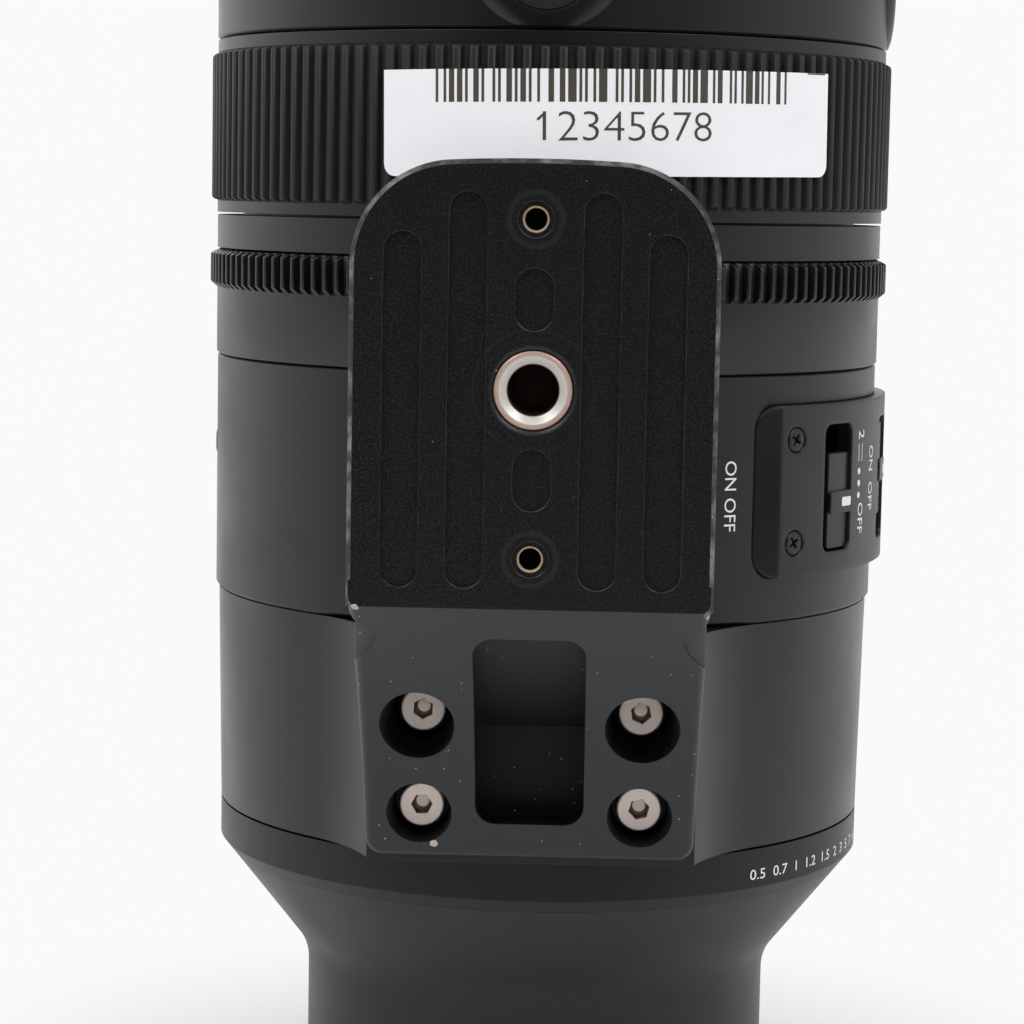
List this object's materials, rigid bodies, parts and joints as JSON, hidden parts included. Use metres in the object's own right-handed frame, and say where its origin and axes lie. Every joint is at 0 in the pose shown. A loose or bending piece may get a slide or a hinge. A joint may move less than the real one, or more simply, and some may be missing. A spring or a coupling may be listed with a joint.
{
  "type": "camera zoom lens",
  "caption": "Large zoom lens with a ribbed focus ring, zoom ring, aperture ring, switch panel and a rotating tripod collar with a clamp foot.",
  "frame": {"origin": "on the optical axis, in the plane of the mount flange", "axes": "+Z along the optical axis towards the front glass, -Y towards the tripod foot, +X towards the switch panel"},
  "size_m": [0.0909, 0.1323, 0.212],
  "materials": {
    "mount_steel": "polished ring face",
    "screw_steel": "satin",
    "black_plastic": "fine matt",
    "contact_gold": "plated",
    "barrel_black": "matt paint",
    "tube_black": "black anodised, matt",
    "collar_black": "matt paint",
    "foot_black": "sandblasted, black anodised",
    "insert_steel": "turned",
    "grip_rubber": "matt ribbed",
    "button_rubber": "matt",
    "inner_alloy": "black anodised",
    "rod_steel": "ground",
    "magnet": "nickel plated",
    "blade_black": "dry black coating",
    "board_green": "lacquered",
    "coated_glass": "coated, polished"
  },
  "bodies": {
    "root": {"mount_ring": "mount_steel", "mount_screws": "screw_steel", "rear_baffle": "black_plastic", "switch_panel": "black_plastic", "contact_pins": "contact_gold", "rear_barrel": "barrel_black", "band_ring": "barrel_black", "panel_barrel": "barrel_black", "button_barrel": "barrel_black", "front_barrel": "barrel_black", "main_tube": "tube_black", "front_retainer": "tube_black", "guide_tube": "inner_alloy", "focus_chassis": "inner_alloy", "stabiliser_base": "inner_alloy", "focus_rods": "rod_steel", "focus_motor": "magnet", "circuit_board": "board_green", "rear_glass": "coated_glass", "front_glass": "coated_glass"},
    "collar": {"tripod_collar": "collar_black", "tripod_foot": "foot_black", "foot_screws": "screw_steel", "foot_insert": "insert_steel"},
    "collar_knob": {"collar_knob": "collar_black"},
    "aperture_ring": {"aperture_ring": "tube_black"},
    "focus_ring": {"focus_ring": "tube_black", "focus_grip": "grip_rubber"},
    "zoom_ring": {"zoom_ring": "tube_black", "zoom_grip": "grip_rubber", "zoom_key": "rod_steel", "cam_tube": "inner_alloy"},
    "variator": {"variator_cell": "inner_alloy", "variator_glass": "coated_glass"},
    "compensator": {"compensator_cell": "inner_alloy", "compensator_glass": "coated_glass"},
    "focus_group": {"focus_cell": "inner_alloy", "focus_glass": "coated_glass"},
    "stabiliser_frame": {"stabiliser_frame": "inner_alloy"},
    "stabiliser_cell": {"stabiliser_cell": "inner_alloy", "stabiliser_glass": "coated_glass"},
    "iris_drive_ring": {"iris_drive_ring": "blade_black"},
    "iris_blade_1": {"iris_blade_1": "blade_black"},
    "iris_blade_2": {"iris_blade_2": "blade_black"},
    "iris_blade_3": {"iris_blade_3": "blade_black"},
    "iris_blade_4": {"iris_blade_4": "blade_black"},
    "iris_blade_5": {"iris_blade_5": "blade_black"},
    "iris_blade_6": {"iris_blade_6": "blade_black"},
    "iris_blade_7": {"iris_blade_7": "blade_black"},
    "iris_blade_8": {"iris_blade_8": "blade_black"},
    "iris_blade_9": {"iris_blade_9": "blade_black"},
    "thumb_button_1": {"thumb_button_1": "button_rubber"},
    "thumb_button_2": {"thumb_button_2": "button_rubber"},
    "thumb_button_3": {"thumb_button_3": "button_rubber"},
    "focus_mode_switch": {"focus_mode_switch": "black_plastic"},
    "focus_range_switch": {"focus_range_switch": "black_plastic"},
    "stabiliser_switch": {"stabiliser_switch": "black_plastic"},
    "custom_switch": {"custom_switch": "black_plastic"},
    "click_switch": {"click_switch": "black_plastic"},
    "lock_switch": {"lock_switch": "black_plastic"}
  },
  "joints": [
    {"name": "collar_turn", "type": "hinge", "parent": "root", "child": "collar", "pos_m": [0, 0, 0], "axis": [0, 0, 1], "continuous": true},
    {"name": "collar_knob_turn", "type": "hinge", "parent": "collar", "child": "collar_knob", "pos_m": [0, 0, 0.0516], "axis": [-0.4226, 0.9063, 0], "range_deg": [0, 120]},
    {"name": "aperture_turn", "type": "hinge", "parent": "root", "child": "aperture_ring", "pos_m": [0, 0, 0], "axis": [0, 0, 1], "range_deg": [0, 60]},
    {"name": "focus_turn", "type": "hinge", "parent": "root", "child": "focus_ring", "pos_m": [0, 0, 0], "axis": [0, 0, 1], "continuous": true},
    {"name": "zoom_turn", "type": "hinge", "parent": "root", "child": "zoom_ring", "pos_m": [0, 0, 0], "axis": [0, 0, 1], "range_deg": [0, 75]},
    {"name": "variator_slide", "type": "slide", "parent": "root", "child": "variator", "axis": [0, 0, 1], "range_m": [-0.0261, 0.0001]},
    {"name": "compensator_slide", "type": "slide", "parent": "root", "child": "compensator", "axis": [0, 0, 1], "range_m": [-0.0061, 0.0001]},
    {"name": "focus_slide", "type": "slide", "parent": "root", "child": "focus_group", "axis": [0, 0, 1], "range_m": [0, 0.0115]},
    {"name": "stabiliser_x_slide", "type": "slide", "parent": "root", "child": "stabiliser_frame", "axis": [1, 0, 0], "range_m": [-0.0008, 0.0008], "stiffness_N_per_m": 250},
    {"name": "stabiliser_y_slide", "type": "slide", "parent": "stabiliser_frame", "child": "stabiliser_cell", "axis": [0, 1, 0], "range_m": [-0.0008, 0.0008], "stiffness_N_per_m": 250},
    {"name": "iris_drive_turn", "type": "hinge", "parent": "root", "child": "iris_drive_ring", "pos_m": [0, 0, 0], "axis": [0, 0, 1], "range_deg": [-0.1, 3.6]},
    {"name": "iris_blade_1_turn", "type": "hinge", "parent": "root", "child": "iris_blade_1", "pos_m": [0, -0.028, 0.0765], "axis": [0, 0, 1], "range_deg": [-0.1, 33.1]},
    {"name": "iris_blade_2_turn", "type": "hinge", "parent": "root", "child": "iris_blade_2", "pos_m": [0.018, -0.02145, 0.0765], "axis": [0, 0, 1], "range_deg": [-0.1, 33.1]},
    {"name": "iris_blade_3_turn", "type": "hinge", "parent": "root", "child": "iris_blade_3", "pos_m": [0.02757, -0.00486, 0.0765], "axis": [0, 0, 1], "range_deg": [-0.1, 33.1]},
    {"name": "iris_blade_4_turn", "type": "hinge", "parent": "root", "child": "iris_blade_4", "pos_m": [0.02425, 0.014, 0.0765], "axis": [0, 0, 1], "range_deg": [-0.1, 33.1]},
    {"name": "iris_blade_5_turn", "type": "hinge", "parent": "root", "child": "iris_blade_5", "pos_m": [0.00958, 0.02631, 0.0765], "axis": [0, 0, 1], "range_deg": [-0.1, 33.1]},
    {"name": "iris_blade_6_turn", "type": "hinge", "parent": "root", "child": "iris_blade_6", "pos_m": [-0.00958, 0.02631, 0.0765], "axis": [0, 0, 1], "range_deg": [-0.1, 33.1]},
    {"name": "iris_blade_7_turn", "type": "hinge", "parent": "root", "child": "iris_blade_7", "pos_m": [-0.02425, 0.014, 0.0765], "axis": [0, 0, 1], "range_deg": [-0.1, 33.1]},
    {"name": "iris_blade_8_turn", "type": "hinge", "parent": "root", "child": "iris_blade_8", "pos_m": [-0.02757, -0.00486, 0.0765], "axis": [0, 0, 1], "range_deg": [-0.1, 33.1]},
    {"name": "iris_blade_9_turn", "type": "hinge", "parent": "root", "child": "iris_blade_9", "pos_m": [-0.018, -0.02145, 0.0765], "axis": [0, 0, 1], "range_deg": [-0.1, 33.1]},
    {"name": "thumb_button_1_press", "type": "slide", "parent": "root", "child": "thumb_button_1", "axis": [0, 1, 0], "range_m": [0, 0.0008], "stiffness_N_per_m": 600},
    {"name": "thumb_button_2_press", "type": "slide", "parent": "root", "child": "thumb_button_2", "axis": [-1, 0, 0], "range_m": [0, 0.0008], "stiffness_N_per_m": 600},
    {"name": "thumb_button_3_press", "type": "slide", "parent": "root", "child": "thumb_button_3", "axis": [0, -1, 0], "range_m": [0, 0.0008], "stiffness_N_per_m": 600},
    {"name": "focus_mode_switch_slide", "type": "slide", "parent": "root", "child": "focus_mode_switch", "axis": [0, 0, 1], "range_m": [0, 0.0028]},
    {"name": "focus_range_switch_slide", "type": "slide", "parent": "root", "child": "focus_range_switch", "axis": [0, 0, 1], "range_m": [-0.0028, 0]},
    {"name": "stabiliser_switch_slide", "type": "slide", "parent": "root", "child": "stabiliser_switch", "axis": [0, 0, 1], "range_m": [-0.0014, 0.0014]},
    {"name": "custom_switch_slide", "type": "slide", "parent": "root", "child": "custom_switch", "axis": [0, 0, 1], "range_m": [0, 0.0028]},
    {"name": "click_switch_slide", "type": "slide", "parent": "root", "child": "click_switch", "axis": [0, 0, 1], "range_m": [0, 0.0026]},
    {"name": "lock_switch_slide", "type": "slide", "parent": "root", "child": "lock_switch", "axis": [0, 0, 1], "range_m": [0, 0.0026]}
  ],
  "couplings": [
    {"joint": "variator_slide", "follows": "zoom_turn", "m_per_rad": -0.019863},
    {"joint": "compensator_slide", "follows": "zoom_turn", "m_per_rad": -0.0045837},
    {"joint": "iris_drive_turn", "follows": "aperture_turn", "ratio": 0.05725},
    {"joint": "iris_blade_1_turn", "follows": "aperture_turn", "ratio": 0.55},
    {"joint": "iris_blade_2_turn", "follows": "aperture_turn", "ratio": 0.55},
    {"joint": "iris_blade_3_turn", "follows": "aperture_turn", "ratio": 0.55},
    {"joint": "iris_blade_4_turn", "follows": "aperture_turn", "ratio": 0.55},
    {"joint": "iris_blade_5_turn", "follows": "aperture_turn", "ratio": 0.55},
    {"joint": "iris_blade_6_turn", "follows": "aperture_turn", "ratio": 0.55},
    {"joint": "iris_blade_7_turn", "follows": "aperture_turn", "ratio": 0.55},
    {"joint": "iris_blade_8_turn", "follows": "aperture_turn", "ratio": 0.55},
    {"joint": "iris_blade_9_turn", "follows": "aperture_turn", "ratio": 0.55}
  ]
}
